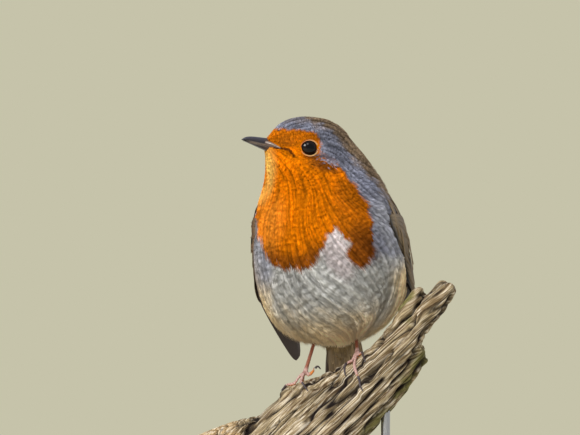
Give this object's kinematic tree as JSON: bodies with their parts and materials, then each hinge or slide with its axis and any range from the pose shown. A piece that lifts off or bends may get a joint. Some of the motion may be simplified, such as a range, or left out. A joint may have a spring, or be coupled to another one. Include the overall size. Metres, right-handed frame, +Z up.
{
  "type": "robin on a perch",
  "caption": "Life-size European robin with orange breast, upright, looking over its right shoulder, gripping a weathered broken branch on a plain display stand.",
  "frame": {"origin": "middle of the underside of the stand's base, on the surface it rests on", "axes": "+Z up; the breast faces -Y, turned 12 degrees towards -X; the bird's left wing is on the +X side; the bill points towards -X and a little towards -Y"},
  "size_m": [0.112, 0.103, 0.1685],
  "materials": {
    "plumage": "soft feathers: orange face and breast, blue-grey border, olive-brown above, whitish belly",
    "flight_feathers": "dark brown feathers with paler edges",
    "eye": "glossy black, wet",
    "bill": "dark horn, satin, paler at the root",
    "leg_skin": "thin scaly reddish-brown skin",
    "claw": "grey-brown horn, satin",
    "weathered_wood": "weathered bare wood, deep grain cracks, moss on the edges",
    "stand_base": "dark stained hardwood, satin",
    "stand_rod": "plain brushed steel"
  },
  "bodies": {
    "root": {"head": "plumage", "neck": "plumage", "trunk": "plumage", "wing_left": "flight_feathers", "wing_right": "flight_feathers", "tail": "flight_feathers", "eye_left": "eye", "eye_right": "eye", "bill_upper": "bill", "bill_lower": "bill", "leg_left": "leg_skin", "leg_right": "leg_skin", "foot_left": "leg_skin", "foot_right": "leg_skin", "claw_left_inner": "claw", "claw_left_middle": "claw", "claw_left_outer": "claw", "claw_left_hind": "claw", "claw_right_inner": "claw", "claw_right_middle": "claw", "claw_right_outer": "claw", "claw_right_hind": "claw", "perch_branch": "weathered_wood", "stand_base": "stand_base", "stand_rod_low": "stand_rod", "stand_rod_high": "stand_rod"}
  },
  "joints": []
}
